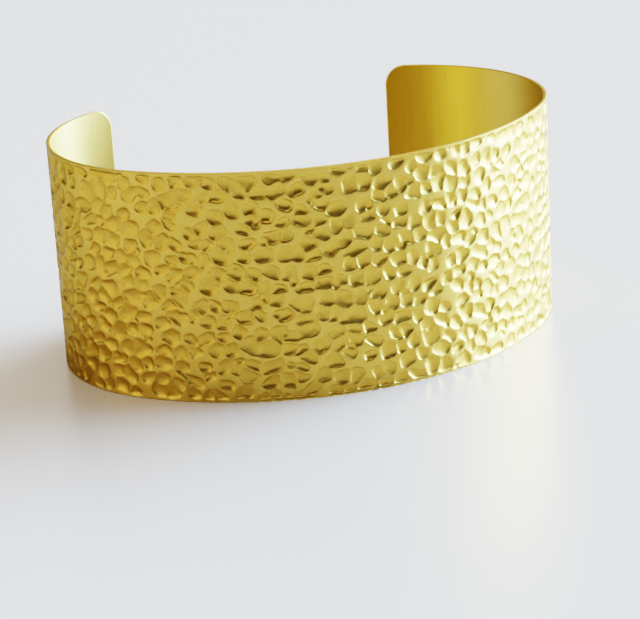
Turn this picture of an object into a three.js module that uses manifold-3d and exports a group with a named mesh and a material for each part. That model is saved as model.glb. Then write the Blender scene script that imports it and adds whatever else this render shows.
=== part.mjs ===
// A hammered brass cuff bracelet: one strip of sheet, bent to an open oval.
// It stands on its lower edge: +Z is up, the front faces -Y and the gap is at +Y.
// The origin is at the middle of its box, at the height of the lower edge.
// All sizes are in millimetres, and angles in radians.
import * as THREE from 'three';
import { mergeVertices } from 'three/addons/utils/BufferGeometryUtils.js';
import Module from 'manifold-3d';

const wasm = await Module();
wasm.setup();

// The strip before it is bent
const stripLength = 152.4;
const bandHeight = 31.75;
const sheetThickness = 0.5;
const cornerRadius = 3;

// The bend, measured on the outer face: a flatter front and two round sides
const frontRadius = 41.6;
const frontLength = 68.4;
const sideRadius = 21.1;

// The hammer dents of the outer face, and the plain border that they leave
const dentPitch = 2.45;
const dentRowPitch = 2.05;
const dentDepth = 0.15;
const plainBorder = 0.3;

// How far the dents stray from an even pattern, as shares of the two pitches
const centreStray = 0.2;
const cornerStray = 0.22;

// How much the dents differ in depth, and how far the ridges between them sink,
// as shares of the depth
const depthSpread = 0.5;
const ridgeSink = 0.2;

// The longest flat that a round form is cut into, and the flats of a quarter round
const bendStep = 2.4;
const cornerSteps = 8;

// How far a cutting solid reaches past the faces that it cuts
const overhang = 1;

// The direction of the strip at a distance along it from the middle of the front
function turnAt(along) {
  const front = THREE.MathUtils.clamp(along, -frontLength / 2, frontLength / 2);
  return front / frontRadius + (along - front) / sideRadius;
}

// The outer face in plan, from the middle of the front
function outerFaceAt(along) {
  const turn = turnAt(along);
  const frontTurn = turnAt(THREE.MathUtils.clamp(along, -frontLength / 2, frontLength / 2));
  const radiusStep = frontRadius - sideRadius;
  return new THREE.Vector2(
    radiusStep * Math.sin(frontTurn) + sideRadius * Math.sin(turn),
    frontRadius - radiusStep * Math.cos(frontTurn) - sideRadius * Math.cos(turn),
  );
}

// The cuff is deepest at its ends, or where it has turned right round before them
const turnedRound = frontLength / 2 + (Math.PI - turnAt(frontLength / 2)) * sideRadius;
const overallDepth = outerFaceAt(Math.min(stripLength / 2, turnedRound)).y;

// Bends a flat form that has x along the strip, y up it and z out of its outer face
function bend(geometry) {
  const position = geometry.attributes.position;
  for (let index = 0; index < position.count; index += 1) {
    const along = position.getX(index);
    const out = position.getZ(index);
    const turn = turnAt(along);
    const plan = outerFaceAt(along);
    const x = plan.x + out * Math.sin(turn);
    const y = plan.y - out * Math.cos(turn) - overallDepth / 2;
    position.setXYZ(index, x, y, position.getY(index));
  }
  return geometry;
}

// A closed solid that can be cut, made from a geometry
function toSolid(geometry) {
  geometry.deleteAttribute('normal');
  geometry.deleteAttribute('uv');
  const merged = mergeVertices(geometry);
  return new wasm.Manifold(new wasm.Mesh({
    numProp: 3,
    vertProperties: new Float32Array(merged.attributes.position.array),
    triVerts: new Uint32Array(merged.index.array),
  }));
}

// The geometry of a solid that has been cut
function toGeometry(solid) {
  const mesh = solid.getMesh();
  const geometry = new THREE.BufferGeometry();
  geometry.setAttribute('position', new THREE.BufferAttribute(mesh.vertProperties, 3));
  geometry.setIndex(new THREE.BufferAttribute(mesh.triVerts, 1));
  geometry.computeVertexNormals();
  return geometry;
}

// The dent pattern is a lattice of triangles with every other column half a row up.
// Every third point is the bottom of a dent, and the six round it are its ridge.
const columnStep = dentPitch / 2;
const columns = 2 * Math.ceil((stripLength / 2 + overhang) / columnStep);
const latticeRowsPerDentRow = 1.5;
const rows = Math.round((bandHeight / dentRowPitch) * latticeRowsPerDentRow);
const rowStep = bandHeight / rows;

// The lattice has two more rows than the band is high, to reach past both of its edges
const extraRows = 2;
const rowsBelowBand = 1.25;

// A repeatable share from -0.5 to 0.5 for one use at one place in the pattern
function scatter(column, row, use) {
  const wave = Math.sin(column * 12.9898 + row * 78.233 + use * 37.719) * 43758.5453;
  return wave - Math.floor(wave) - 0.5;
}

// How far a place on the flat strip is inside its outline, up to the corner radius
function insetAt(along, up) {
  const pastX = Math.max(Math.abs(along) - stripLength / 2 + cornerRadius, 0);
  const pastY = Math.max(Math.abs(up - bandHeight / 2) - bandHeight / 2 + cornerRadius, 0);
  return cornerRadius - Math.hypot(pastX, pastY);
}

// One point of the hammered face on the flat strip
function latticePoint(column, row) {
  const halfRowUp = column % 2;
  const along = (column - columns / 2) * columnStep;
  const up = (row - rowsBelowBand + halfRowUp / 2) * rowStep;
  const thirdPoint = (column - row + (column - halfRowUp) / 2) % 3 === 0;
  const isDent = thirdPoint && insetAt(along, up) > plainBorder + rowStep / 2;
  const stray = isDent ? centreStray : cornerStray;
  const spread = isDent ? depthSpread : ridgeSink;
  const sink = isDent ? dentDepth : dentDepth * ridgeSink / 2;
  return new THREE.Vector3(
    along + stray * dentPitch * scatter(column, row, 1),
    up + stray * dentRowPitch * scatter(column, row, 2),
    -sink - spread * dentDepth * scatter(column, row, 3),
  );
}

// A block thicker than the sheet, larger all round, with the dents in its outer face
function hammeredBlock() {
  const length = columns * columnStep;
  const depth = sheetThickness + overhang;
  const latticeRows = rows + extraRows;
  const block = new THREE.BoxGeometry(length, bandHeight, depth, columns, latticeRows, 1);
  const position = block.attributes.position;
  for (let index = 0; index < position.count; index += 1) {
    const column = Math.round(position.getX(index) / columnStep + columns / 2);
    const row = Math.round((position.getY(index) / bandHeight + 0.5) * latticeRows);
    const point = latticePoint(column, row);
    const onOuterFace = position.getZ(index) > 0;
    position.setXYZ(index, point.x, point.y, onOuterFace ? point.z : -depth);
  }
  turnDiagonals(block);
  return block;
}

// Turns the diagonals of the outer face's even columns, so that each joins near points
function turnDiagonals(block) {
  const outerFace = block.groups[4];
  const index = block.index;
  for (let quad = 0; quad < outerFace.count / 6; quad += 1) {
    if (quad % columns % 2 === 0) {
      const start = outerFace.start + quad * 6;
      const [upperLeft, lowerLeft, upperRight] = [0, 1, 2].map((k) => index.getX(start + k));
      const lowerRight = index.getX(start + 4);
      const turned = [upperLeft, lowerLeft, lowerRight, upperLeft, lowerRight, upperRight];
      turned.forEach((vertex, k) => index.setX(start + k, vertex));
    }
  }
}

// The plain strip, reaching past the outer face, whose inner face and edges the cuff has
function plainBlock() {
  const depth = sheetThickness + overhang;
  const steps = Math.ceil(stripLength / bendStep);
  const block = new THREE.BoxGeometry(stripLength, bandHeight, depth, steps, 1, 1);
  return block.translate(0, bandHeight / 2, overhang - depth / 2);
}

// What is cut off to round one corner of the strip: a square without a quarter round
function cornerOffcut(endSide, edgeSide) {
  const outline = new THREE.Shape();
  outline.moveTo(overhang, overhang);
  outline.lineTo(-cornerRadius, overhang);
  outline.lineTo(-cornerRadius, 0);
  outline.absarc(-cornerRadius, -cornerRadius, cornerRadius, Math.PI / 2, 0, true);
  outline.lineTo(overhang, -cornerRadius);
  const placed = outline.getPoints(cornerSteps / 2).map((point) => new THREE.Vector2(
    endSide * (stripLength / 2 + point.x),
    bandHeight / 2 + edgeSide * (bandHeight / 2 + point.y),
  ));
  const depth = sheetThickness + 3 * overhang;
  const offcut = new THREE.ExtrudeGeometry(new THREE.Shape(placed), {
    depth,
    bevelEnabled: false,
  });
  return offcut.translate(0, 0, 2 * overhang - depth);
}

// The cuff: the hammered block trimmed to the strip's inner face, edges and corners
function cuffBand() {
  let solid = toSolid(bend(hammeredBlock())).intersect(toSolid(bend(plainBlock())));
  for (const endSide of [-1, 1]) {
    for (const edgeSide of [-1, 1]) {
      solid = solid.subtract(toSolid(bend(cornerOffcut(endSide, edgeSide))));
    }
  }
  const brass = new THREE.MeshStandardMaterial({
    color: 0xc9a63a,
    roughness: 0.32,
    metalness: 1,
  });
  const mesh = new THREE.Mesh(toGeometry(solid), brass);
  mesh.name = 'cuff_band';
  return mesh;
}

const cuff = new THREE.Group();
cuff.name = 'hammered_cuff';
cuff.add(cuffBand());

export default cuff;
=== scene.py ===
import math

import bmesh
import bpy
import numpy as np
from mathutils import Matrix, Vector
from mathutils.kdtree import KDTree


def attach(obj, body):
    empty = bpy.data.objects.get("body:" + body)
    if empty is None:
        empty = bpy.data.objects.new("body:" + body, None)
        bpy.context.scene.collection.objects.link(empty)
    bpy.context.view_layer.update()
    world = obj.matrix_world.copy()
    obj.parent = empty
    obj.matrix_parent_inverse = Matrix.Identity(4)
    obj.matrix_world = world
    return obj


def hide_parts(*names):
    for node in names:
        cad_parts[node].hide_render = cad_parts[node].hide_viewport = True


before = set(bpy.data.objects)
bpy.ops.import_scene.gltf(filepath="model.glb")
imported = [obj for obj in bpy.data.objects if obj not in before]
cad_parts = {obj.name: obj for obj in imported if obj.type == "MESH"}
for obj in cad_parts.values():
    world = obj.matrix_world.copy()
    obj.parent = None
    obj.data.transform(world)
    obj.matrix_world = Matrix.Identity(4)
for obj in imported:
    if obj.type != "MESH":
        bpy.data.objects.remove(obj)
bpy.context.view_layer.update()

mm = 0.001  # every size below is in millimetres and is turned to metres by this


# sRGB hex to the linear colour that shaders take
def linearColour(hexValue):
    channels = [int(hexValue[i:i + 2], 16) / 255 for i in (1, 3, 5)]
    linear = [c / 12.92 if c <= 0.04045 else ((c + 0.055) / 1.055) ** 2.4 for c in channels]
    return (*linear, 1.0)


# One node with its settings and links: inputs by name, links as (socket, input name)
def addNode(tree, kind, inputs=None, links=None, **settings):
    node = tree.nodes.new(kind)
    for name, value in settings.items():
        setattr(node, name, value)
    for name, value in (inputs or {}).items():
        node.inputs[name].default_value = value
    for name, source in (links or {}).items():
        tree.links.new(source, node.inputs[name])
    return node


# The strip of sheet that the cuff is bent from, and its bend
cuff = {
    "stripLength": 152.4,
    "bandHeight": 31.75,
    "sheetThickness": 0.5,
    "cornerRadius": 3,
    "edgeRound": 0.09,       # how far the cut edges are eased
    "frontRadius": 41.6,     # outer face, over the front
    "frontLength": 68.4,
    "sideRadius": 21.1,      # outer face, round the two sides to the ends
    "gridStep": 0.25,        # fine enough for the wall of a dent
}

# The hammer marks: rounded pits packed like cobbles, with narrow lands or a crisp ridge
# between them. A blow has its own place, size and turn within these ranges.
pits = {
    "pitch": 2.45,
    "rowPitch": 2.05,
    "stray": 0.75,           # share of the pitch over which a blow strays from its place
    "growth": (0.65, 1.3),   # how much more or less room one blow takes than its neighbours
    "halfLength": (0.85, 2.1),
    "halfWidth": (0.7, 1.5),
    "squareness": (2.2, 3.8),  # 2 is an oval, more is a rounded block
    "turn": 70,              # degrees over which the blows are turned
    "land": (-0.12, 0.13),   # half the land between two blows, and less than 0 for a ridge
    "depth": (0.16, 0.29),
}

# A few small blows from the edge of the hammer, which lie across the pits
nicks = {
    "pitch": 5.3,
    "rowPitch": 3.9,
    "stray": 1.0,
    "growth": (1.0, 1.0),
    "halfLength": (0.5, 1.0),
    "halfWidth": (0.35, 0.6),
    "squareness": (2.0, 2.6),
    "turn": 120,
    "land": (-9.0, -9.0),    # so low that none takes room from another
    "depth": (0.18, 0.27),
}

# What all the blows have in common
relief = {
    "roundness": 0.1,        # how round the corners of a pit are
    "wall": 0.42,            # the wall falls over this width, steepest at its lip
    "bowl": 0.8,             # share of the depth that is a bowl right to the middle
    "tilt": 0.1,             # slope of a floor, as the hammer did not fall square
    "plainBorder": 0.2,
    "borderBlend": 0.4,      # width over which the border gives way to the blows
    "wander": 0.06,          # how far the outlines wander
    "wanderWaves": ((0.9, 2.3), (-2.9, 5.1)),
    "secondWave": 0.6,       # share of the second, shorter wave
    "neighbours": 9,         # blows looked at round each place
    "reaching": 4,           # of these, how many can reach that place
}
outsideLip = -0.5            # lip value where no blow reaches
farOff = 9.0                 # a distance that limits nothing
leastApart = 1e-6            # so that nothing is divided by no distance


def turnAt(along):
    front = np.clip(along, -cuff["frontLength"] / 2, cuff["frontLength"] / 2)
    return front / cuff["frontRadius"] + (along - front) / cuff["sideRadius"]


def outerFaceAt(along):
    turn = turnAt(along)
    half = cuff["frontLength"] / 2
    frontTurn = turnAt(np.clip(along, -half, half))
    radiusStep = cuff["frontRadius"] - cuff["sideRadius"]
    x = radiusStep * np.sin(frontTurn) + cuff["sideRadius"] * np.sin(turn)
    y = (cuff["frontRadius"] - radiusStep * np.cos(frontTurn)
         - cuff["sideRadius"] * np.cos(turn))
    return x, y


# The flat strip: a grid whose ends are drawn in to the rounded corners, given its wall,
# with eased edges and with long plain faces inside, where there is no hammering
def flatStrip():
    length, height = cuff["stripLength"], cuff["bandHeight"]
    radius, step = cuff["cornerRadius"], cuff["gridStep"]
    thickness = cuff["sheetThickness"]
    cutAngle = 60  # degrees between the faces at a cut edge, at least
    nearly = 0.99  # share of the thickness, or of a level normal, that counts as all of it
    keptRows = 0.3  # rows this near an edge stay, so that its easing shades no further
    drawnIn = 3 * radius  # length over which the columns lean in to the rounded end
    columns, rows = round(length / step), round(height / step)
    bm = bmesh.new()
    bmesh.ops.create_grid(bm, x_segments=columns, y_segments=rows, size=0.5)
    bmesh.ops.scale(bm, vec=(length, height, 1), verts=bm.verts)
    straightUp = height / 2 - radius
    for vert in bm.verts:
        past = max(abs(vert.co.y) - straightUp, 0) / radius
        if past > 0:  # rows near an edge are spaced evenly round the corner
            angle = past * math.pi / 2
            vert.co.y = math.copysign(straightUp + radius * math.sin(angle), vert.co.y)
            reach = radius * (1 - math.cos(angle))
            lean = (abs(vert.co.x) - length / 2 + drawnIn) / drawnIn
            if lean > 0:
                vert.co.x -= math.copysign(reach * lean, vert.co.x)
    bmesh.ops.translate(bm, vec=(0, height / 2, 0), verts=bm.verts)
    wall = bmesh.ops.extrude_face_region(bm, geom=bm.faces[:], use_keep_orig=True)
    innerVerts = [item for item in wall["geom"] if isinstance(item, bmesh.types.BMVert)]
    bmesh.ops.translate(bm, vec=(0, 0, -thickness), verts=innerVerts)
    bmesh.ops.recalc_face_normals(bm, faces=bm.faces)
    sharp = [edge for edge in bm.edges
             if edge.calc_face_angle(0) > math.radians(cutAngle)]
    bmesh.ops.bevel(bm, geom=sharp, offset=cuff["edgeRound"], offset_type="OFFSET",
                    affect="EDGES", segments=2, profile=0.5, material=-1)
    plainReach = length / 2 - drawnIn
    crossEdges = []
    for edge in bm.edges:
        a, b = (vert.co for vert in edge.verts)
        onInnerFace = max(a.z, b.z) < -thickness * nearly
        alongStrip = abs(a.x - b.x) > abs(a.y - b.y)
        clearOfEdges = keptRows < a.y < height - keptRows
        clearOfEnds = max(abs(a.x), abs(b.x)) < plainReach
        flat = all(abs(face.normal.z) > nearly for face in edge.link_faces)
        if onInnerFace and alongStrip and clearOfEdges and clearOfEnds and flat:
            crossEdges.append(edge)
    bmesh.ops.dissolve_edges(bm, edges=crossEdges, use_verts=True)
    return bm


# A wave so steep that its last digits differ from one place in the pattern to the next
scatterWave = {"perColumn": 12.9898, "perRow": 78.233, "perUse": 37.719, "height": 43758.5453}


# A repeatable share from 0 to 1 for each use at each place in the pattern
def scatter(column, row, use):
    angle = (column * scatterWave["perColumn"] + row * scatterWave["perRow"]
             + use * scatterWave["perUse"])
    wave = np.sin(angle) * scatterWave["height"]
    return wave - np.floor(wave)


# The blows of one pattern, one near each point of a staggered lattice
def hammerBlows(pattern):
    spare = 2  # one column or row past each side of the strip
    columns = round(cuff["stripLength"] / pattern["pitch"]) + spare
    rows = round(cuff["bandHeight"] / pattern["rowPitch"]) + spare
    ranges = [pattern[name] for name in
              ("halfLength", "halfWidth", "squareness", "depth", "growth")]
    blows = []
    for column in range(columns):
        for row in range(rows):
            share = scatter(column, row, np.arange(10))
            x = (column - (columns - 1) / 2 + row % 2 / 2 - 0.25) * pattern["pitch"]
            y = (row - 0.5) * cuff["bandHeight"] / (rows - spare)
            x += pattern["stray"] * pattern["pitch"] * (share[0] - 0.5)
            y += pattern["stray"] * pattern["rowPitch"] * (share[1] - 0.5)
            sizes = [low + (high - low) * part for (low, high), part in zip(ranges, share[2:7])]
            angle = math.radians(pattern["turn"]) * (share[7] - 0.5)
            blows.append((x, y, *sizes, angle, share[8] - 0.5, share[9] - 0.5))
    return np.array(blows)


# How far a place on the flat strip is inside its outline, up to the corner radius
def insetAt(x, y):
    radius, height = cuff["cornerRadius"], cuff["bandHeight"]
    pastX = np.maximum(np.abs(x) - cuff["stripLength"] / 2 + radius, 0)
    pastY = np.maximum(np.abs(y - height / 2) - height / 2 + radius, 0)
    return radius - np.hypot(pastX, pastY)


def smoothStep(low, high, value):
    share = np.clip((value - low) / (high - low), 0, 1)
    return share * share * (3 - 2 * share)


# The least of several distances, with the corners between them rounded off
def roundedLeast(distances):
    least = distances.min(axis=-1, keepdims=True)
    spread = np.exp((least - distances) / relief["roundness"]).sum(axis=-1)
    return least[..., 0] - relief["roundness"] * np.log(spread)


# How deep a pattern's blows are at each place, and how far that is inside a blow's lip.
# A blow reaches as far as its own rounded block, and as far as its neighbours leave it room.
def patternDepth(pattern, x, y):
    blows = hammerBlows(pattern)
    tree = KDTree(len(blows))
    for i, blow in enumerate(blows):
        tree.insert((blow[0], blow[1], 0), i)
    tree.balance()
    near = np.array([[hit[1] for hit in tree.find_n((px, py, 0), relief["neighbours"])]
                     for px, py in zip(x, y)])
    depth, lip = np.zeros(len(x)), np.full(len(x), -farOff)
    for k in range(relief["reaching"]):
        own = near[:, k]
        bx, by, halfLength, halfWidth, power, full, growth, angle, tiltX, tiltY = blows[own].T
        dx, dy = x - bx, y - by
        u = np.abs(dx * np.cos(angle) + dy * np.sin(angle)) / halfLength
        v = np.abs(dy * np.cos(angle) - dx * np.sin(angle)) / halfWidth
        block = (1 - (u ** power + v ** power) ** (1 / power)) * (halfLength + halfWidth) / 2
        limits = [block]
        for other in near.T:
            toX, toY = blows[other, 0] - bx, blows[other, 1] - by
            apart = np.maximum(np.hypot(toX, toY), leastApart)
            share = growth / (growth + blows[other, 6])
            low, high = pattern["land"]
            land = low + (high - low) * scatter(own + other, np.abs(own - other), 0)
            room = apart * share - (dx * toX + dy * toY) / apart - land
            limits.append(np.where(own == other, farOff, room))
        inside = roundedLeast(np.stack(limits, axis=-1))
        fall = np.clip(inside / relief["wall"], 0, 1)
        middle = np.clip(inside / halfWidth, 0, 1)
        profile = ((1 - relief["bowl"]) * (1 - (1 - fall) ** 2)
                   + relief["bowl"] * (1 - (1 - middle) ** 2))
        floor = full + 2 * relief["tilt"] * (tiltX * dx + tiltY * dy)
        depth = np.maximum(depth, floor * profile)
        lip = np.maximum(lip, inside)
    return depth, lip


# The depth and the lip of the whole hammered face, which leaves a narrow plain border
def hammerDepth(x, y):
    plain = relief["plainBorder"]
    border = smoothStep(plain, plain + relief["borderBlend"], insetAt(x, y))
    far, second = relief["wander"], relief["secondWave"]
    (ax, ay), (bx, by) = relief["wanderWaves"]
    wanderX = x + far * (np.sin(ax * x + ay * y) + second * np.sin(bx * x + by * y))
    wanderY = y + far * (np.sin(ay * x - ax * y) + second * np.sin(by * x - bx * y))
    pitDepth, pitLip = patternDepth(pits, wanderX, wanderY)
    nickDepth, nickLip = patternDepth(nicks, wanderX, wanderY)
    depth = np.maximum(pitDepth, nickDepth)
    lip = np.maximum(np.maximum(pitLip, nickLip), outsideLip)
    return depth * border, lip * border + outsideLip * (1 - border)


# The strip with the blows pressed into its outer face, bent round. Two attributes stay with
# it for the brass: how far a place is inside a blow's lip, and its place on the flat strip.
def bentCuff():
    bm = flatStrip()
    mesh = bpy.data.meshes.new("cuff_hammered")
    bm.to_mesh(mesh)
    bm.free()
    flat = np.empty(len(mesh.vertices) * 3)
    mesh.vertices.foreach_get("co", flat)
    flat = flat.reshape(-1, 3)
    along, up, out = flat.T.copy()
    halfSheet = cuff["sheetThickness"] / 2
    face = np.flatnonzero(out > -halfSheet)
    depth, lip = hammerDepth(along[face], up[face])
    depth *= np.clip(1 + out[face] / halfSheet, 0, 1)
    out[face] -= depth
    turn = turnAt(along)
    x, y = outerFaceAt(along)
    deepest = outerFaceAt(np.array([cuff["stripLength"] / 2]))[1][0]
    bent = np.stack([x + out * np.sin(turn), y - out * np.cos(turn) - deepest / 2, up], 1)
    mesh.vertices.foreach_set("co", (bent * mm).ravel())
    lips = np.full(len(along), outsideLip)
    lips[face] = lip
    mesh.attributes.new("lip", "FLOAT", "POINT").data.foreach_set("value", lips)
    strip = np.stack([along, up, out], 1) * mm
    mesh.attributes.new("strip", "FLOAT_VECTOR", "POINT").data.foreach_set(
        "vector", strip.ravel())
    mesh.polygons.foreach_set("use_smooth", [True] * len(mesh.polygons))
    mesh.update()
    cuffObject = bpy.data.objects.new("cuff_hammered", mesh)
    bpy.context.scene.collection.objects.link(cuffObject)
    return cuffObject


cuffObject = bentCuff()
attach(cuffObject, "root")
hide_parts("cuff_band")
triangles = sum(len(p.vertices) - 2 for p in cuffObject.data.polygons)
print("cuff bent and hammered:", triangles, "triangles")


# Two colours mixed by a share, and the socket that gives the result
def mixColours(tree, first, second, share):
    mix = addNode(tree, "ShaderNodeMix", data_type="RGBA")
    mix.inputs["A"].default_value = linearColour(first)
    mix.inputs["B"].default_value = linearColour(second)
    tree.links.new(share, mix.inputs["Factor"])
    return mix.outputs["Result"]


brass = {
    "landTone": "#c9a44e",
    # the darker tone, used for painted shade in the pits and for the patches and grain
    "pitShadeAndMottleTone": "#bd953f",
    "creviceShadeTone": "#7d5f26",  # painted shade: a dark brown line in the crease round each pit, standing for the shade at its steep lip
    "creviceShadeInset": 0.06,      # how far inside the lip it lies
    "creviceShadeHalfWidth": 0.1,
    "creviceShadeShare": 0.28,
    "pitShadeEdge": (-0.05, 0.25),  # between these lip values the land gives way to the painted shade of the pit
    "pitShadeShare": 0.6,           # how far painted shade takes the floor of a pit towards the darker tone
    "patchShare": (-0.2, 0.5),  # what wide patches add to that
    "grainShare": 1.6,         # and what the grain adds, to either side
    "innerTones": ("#d2b660", "#c0a04e"),
    "edgeOnTone": "#bdbbb4",
    "roughness": (0.25, 0.35),
    "innerRougher": 0.08,
    "innerFace": (-0.47, -0.49),  # between these heights the inner finish takes over
    "grainSize": 0.3,
    "grainDetail": 3.0,
    "grainHeight": 0.008,
    "grainStrength": 0.22,
    "patchSize": 7,
    "patchDetail": 2.0,
    "brushWidth": 0.35,
    "brushLength": 14,
    "brushDetail": 4.0,
    "creaseHeight": 0.055,     # how sharply the light breaks at the lip of a pit
    "creaseWidth": 0.2,
    "creaseStrength": (0.6, 1.0),
    "creasePatches": (0.35, 0.65),  # the patches between which it goes from soft to sharp
}


# Raw brass, hammered cold and lightly brushed: a warm mirror broken up by the blows, with a
# fine grain that softens it, painted shade that darkens the floors of the pits against the lands
# and lies as a dark line just inside each lip, and drawn out by brushing on the plain inner face
def hammeredBrass():
    material = bpy.data.materials.new("brass_hammered")
    material.use_nodes = True
    tree = material.node_tree
    tree.nodes.clear()
    strip = addNode(tree, "ShaderNodeAttribute", attribute_name="strip").outputs["Vector"]
    lip = addNode(tree, "ShaderNodeAttribute", attribute_name="lip").outputs["Fac"]
    grain = addNode(tree, "ShaderNodeTexNoise",
                    {"Scale": 1 / (brass["grainSize"] * mm), "Detail": brass["grainDetail"]},
                    {"Vector": strip})
    patches = addNode(tree, "ShaderNodeTexNoise",
                      {"Scale": 1 / (brass["patchSize"] * mm),
                       "Detail": brass["patchDetail"]},
                      {"Vector": strip})
    wall = addNode(tree, "ShaderNodeMapRange",
                   {"From Min": 0.0, "From Max": brass["creaseWidth"]},
                   {"Value": lip})
    out = addNode(tree, "ShaderNodeSeparateXYZ", links={"Vector": strip}).outputs["Z"]
    innerTop, innerDeep = brass["innerFace"]
    inner = addNode(tree, "ShaderNodeMapRange",
                    {"From Min": innerTop * mm, "From Max": innerDeep * mm},
                    {"Value": out})
    onLand, wellInside = brass["pitShadeEdge"]
    # Painted shade: the floor of each pit is mixed towards the darker tone
    paintedPitShade = addNode(tree, "ShaderNodeMapRange",
                    {"From Min": onLand, "From Max": wellInside, "To Max": brass["pitShadeShare"]},
                    {"Value": lip})
    pitShadeAndMottleTone = addNode(tree, "ShaderNodeMath",
                      links={0: paintedPitShade.outputs["Result"]}, operation="ADD")
    leastPatch, mostPatch = brass["patchShare"]
    patchTone = addNode(tree, "ShaderNodeMapRange", {"To Min": leastPatch, "To Max": mostPatch},
                        {"Value": patches.outputs["Fac"]})
    tree.links.new(patchTone.outputs["Result"], pitShadeAndMottleTone.inputs[1])
    grainTone = addNode(tree, "ShaderNodeMath",
                        {1: brass["grainShare"], 2: -brass["grainShare"] / 2},
                        {0: grain.outputs["Fac"]}, operation="MULTIPLY_ADD")
    outerShare = addNode(tree, "ShaderNodeMath",
                         links={0: pitShadeAndMottleTone.outputs["Value"], 1: grainTone.outputs["Value"]},
                         operation="ADD")
    outerTone = mixColours(tree, brass["landTone"], brass["pitShadeAndMottleTone"],
                           outerShare.outputs["Value"])
    # Painted shade: a thin dark line just inside the lip of each pit, mixed into the colour
    fromCreviceShade = addNode(tree, "ShaderNodeMath", {1: brass["creviceShadeInset"]}, {0: lip},
                          operation="SUBTRACT")
    aside = addNode(tree, "ShaderNodeMath", links={0: fromCreviceShade.outputs["Value"]},
                    operation="ABSOLUTE")
    creviceShade = addNode(tree, "ShaderNodeMapRange",
                      {"From Max": brass["creviceShadeHalfWidth"],
                       "To Min": brass["creviceShadeShare"], "To Max": 0.0},
                      {"Value": aside.outputs["Value"]}, interpolation_type="SMOOTHSTEP")
    creviceShaded = addNode(tree, "ShaderNodeMix", data_type="RGBA")
    tree.links.new(creviceShade.outputs["Result"], creviceShaded.inputs["Factor"])
    tree.links.new(outerTone, creviceShaded.inputs["A"])
    creviceShaded.inputs["B"].default_value = linearColour(brass["creviceShadeTone"])
    brushScale = (1 / (brass["brushWidth"] * mm), 1 / (brass["brushLength"] * mm), 0)
    acrossStrip = addNode(tree, "ShaderNodeVectorMath", {1: brushScale}, {0: strip},
                          operation="MULTIPLY")
    brushing = addNode(tree, "ShaderNodeTexNoise",
                       {"Scale": 1.0, "Detail": brass["brushDetail"]},
                       {"Vector": acrossStrip.outputs["Vector"]})
    innerTone = mixColours(tree, *brass["innerTones"], brushing.outputs["Fac"])
    tone = addNode(tree, "ShaderNodeMix", data_type="RGBA")
    tree.links.new(inner.outputs["Result"], tone.inputs["Factor"])
    tree.links.new(creviceShaded.outputs["Result"], tone.inputs["A"])
    tree.links.new(innerTone, tone.inputs["B"])
    smoothest, roughest = brass["roughness"]
    grainRough = addNode(tree, "ShaderNodeMapRange", {"To Min": smoothest, "To Max": roughest},
                         {"Value": grain.outputs["Fac"]})
    innerRough = addNode(tree, "ShaderNodeMapRange", {"To Max": brass["innerRougher"]},
                         {"Value": inner.outputs["Result"]})
    rough = addNode(tree, "ShaderNodeMath",
                    links={0: grainRough.outputs["Result"], 1: innerRough.outputs["Result"]},
                    operation="ADD")
    fine = addNode(tree, "ShaderNodeBump",
                   {"Strength": brass["grainStrength"], "Distance": brass["grainHeight"] * mm},
                   {"Height": grain.outputs["Fac"]})
    softest, sharpest = brass["creaseStrength"]
    softPatch, sharpPatch = brass["creasePatches"]
    sharpness = addNode(tree, "ShaderNodeMapRange",
                        {"From Min": softPatch, "From Max": sharpPatch,
                         "To Min": softest, "To Max": sharpest},
                        {"Value": patches.outputs["Fac"]})
    crease = addNode(tree, "ShaderNodeBump", {"Distance": brass["creaseHeight"] * mm},
                     {"Strength": sharpness.outputs["Result"],
                      "Height": wall.outputs["Result"], "Normal": fine.outputs["Normal"]},
                     invert=True)
    shader = addNode(tree, "ShaderNodeBsdfPrincipled",
                     {"Metallic": 1.0, "Specular Tint": linearColour(brass["edgeOnTone"])},
                     {"Base Color": tone.outputs["Result"],
                      "Roughness": rough.outputs["Value"],
                      "Normal": crease.outputs["Normal"]})
    addNode(tree, "ShaderNodeOutputMaterial", links={"Surface": shader.outputs["BSDF"]})
    return material


cuffObject.data.materials.append(hammeredBrass())
print("brass made")


# A pale lacquered table, large enough to fill the view, glossy enough to mirror the cuff
# faintly at its foot
table = {"size": 4000, "colour": "#aa9f90", "roughness": 0.3}


def paleTable():
    bm = bmesh.new()
    bmesh.ops.create_grid(bm, x_segments=1, y_segments=1, size=table["size"] / 2 * mm)
    mesh = bpy.data.meshes.new("table_top")
    bm.to_mesh(mesh)
    bm.free()
    tableObject = bpy.data.objects.new("table_top", mesh)
    bpy.context.scene.collection.objects.link(tableObject)
    material = bpy.data.materials.new("lacquer_white")
    material.use_nodes = True
    shader = material.node_tree.nodes["Principled BSDF"]
    shader.inputs["Base Color"].default_value = linearColour(table["colour"])
    shader.inputs["Roughness"].default_value = table["roughness"]
    mesh.materials.append(material)
    return tableObject


paleTable()
print("table laid")

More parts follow.
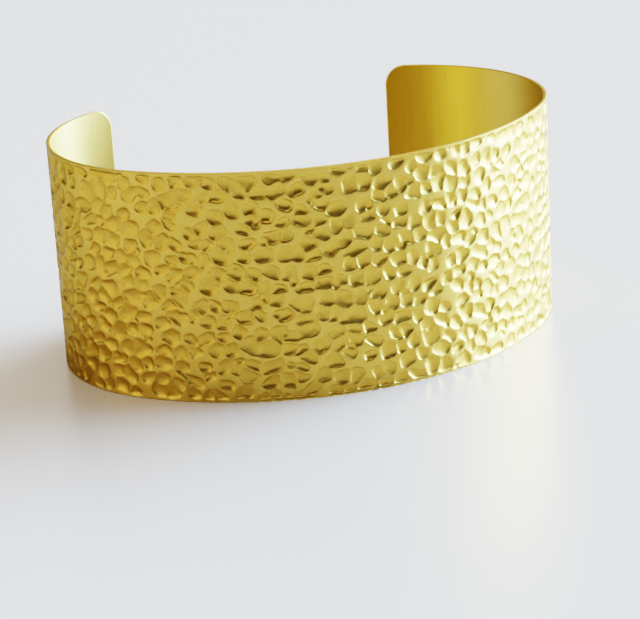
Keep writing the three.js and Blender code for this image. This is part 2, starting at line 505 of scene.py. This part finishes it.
# Soft daylight in a dim room: a bright side on the right, a ceiling, a paler backdrop, and a
# faint glow on the left from behind the camera
light = {
    "everywhere": 0.07,
    "everywhereColour": "#fff6ea",
    "sides": [  # (to the right, to the back, up) as the camera sees it, from and to cosine,
        # strength and colour
        ((1.0, 0.5, 0.08), 0.69, 0.99, 84.0, "#accfff"),
        ((0.0, 0.0, 1.0), 0.62, 1.0, 2.6, "#fff8ee"),
        ((0.5, 1.0, 0.3), 0.3, 0.95, 1.1, "#fffaf2"),
        ((-1.0, -0.5, 0.4), 0.74, 0.98, 1.4, "#fff3e0"),
    ],
}
camera = {
    "azimuth": -21.42,
    "elevation": 18.96,
    "distance": 349.6,
    "roll": -3.334,
    "aimRight": 2.52,
    "aimUp": 1.48,
    "aimBack": 7.45,         # the aim is this far behind the middle of the cuff
    "focalPixels": 2400,
    "imageWidth": 640,
    "sensorWidth": 36,
    "nearest": 10,
}


# The directions to the camera's right, up and back towards it
def viewAxes():
    azimuth, elevation = math.radians(camera["azimuth"]), math.radians(camera["elevation"])
    back = Vector((math.sin(azimuth) * math.cos(elevation),
                   -math.cos(azimuth) * math.cos(elevation), math.sin(elevation)))
    right = (-back).cross(Vector((0, 0, 1))).normalized()
    return right, right.cross(-back), back


def placeCamera():
    right, up, back = viewAxes()
    aim = right * camera["aimRight"] + up * camera["aimUp"] + Vector((0, camera["aimBack"], 0))
    roll = math.radians(camera["roll"])
    rolledRight = math.cos(roll) * right + math.sin(roll) * up
    rolledUp = -math.sin(roll) * right + math.cos(roll) * up
    data = bpy.data.cameras.new("camera")
    data.sensor_width = camera["sensorWidth"]
    data.lens = camera["focalPixels"] / camera["imageWidth"] * camera["sensorWidth"]
    data.clip_start = camera["nearest"] * mm
    cameraObject = bpy.data.objects.new("camera", data)
    bpy.context.scene.collection.objects.link(cameraObject)
    turn = Matrix((rolledRight, rolledUp, back)).transposed().to_4x4()
    cameraObject.matrix_world = Matrix.Translation((aim + back * camera["distance"]) * mm) @ turn
    bpy.context.scene.camera = cameraObject


# A world of broad soft lights, each strongest round its own direction
def lightRoom():
    world = bpy.data.worlds.new("room")
    world.use_nodes = True
    tree = world.node_tree
    tree.nodes.clear()
    right, up, back = viewAxes()
    away = Vector((-back.x, -back.y, 0)).normalized()
    direction = addNode(tree, "ShaderNodeTexCoord").outputs["Generated"]
    base = linearColour(light["everywhereColour"])
    total = None
    for (toRight, toBack, toUp), low, high, strength, colour in light["sides"]:
        axis = (right * toRight + away * toBack + Vector((0, 0, toUp))).normalized()
        cosine = addNode(tree, "ShaderNodeVectorMath", operation="DOT_PRODUCT")
        tree.links.new(direction, cosine.inputs[0])
        cosine.inputs[1].default_value = axis
        side = addNode(tree, "ShaderNodeMapRange",
                       {"From Min": low, "From Max": high, "To Min": 0.0, "To Max": strength},
                       {"Value": cosine.outputs["Value"]}, interpolation_type="SMOOTHSTEP")
        adding = addNode(tree, "ShaderNodeVectorMath", operation="MULTIPLY_ADD")
        adding.inputs[0].default_value = linearColour(colour)[:3]
        tree.links.new(side.outputs["Result"], adding.inputs[1])
        if total:
            tree.links.new(total, adding.inputs[2])
        else:
            adding.inputs[2].default_value = [c * light["everywhere"] for c in base[:3]]
        total = adding.outputs["Vector"]
    background = addNode(tree, "ShaderNodeBackground", links={"Color": total})
    addNode(tree, "ShaderNodeOutputWorld", links={"Surface": background.outputs["Background"]})
    bpy.context.scene.world = world


placeCamera()
lightRoom()
bpy.context.scene.view_settings.view_transform = "Filmic"
bpy.context.scene.view_settings.look = "High Contrast"
print("camera and light placed")
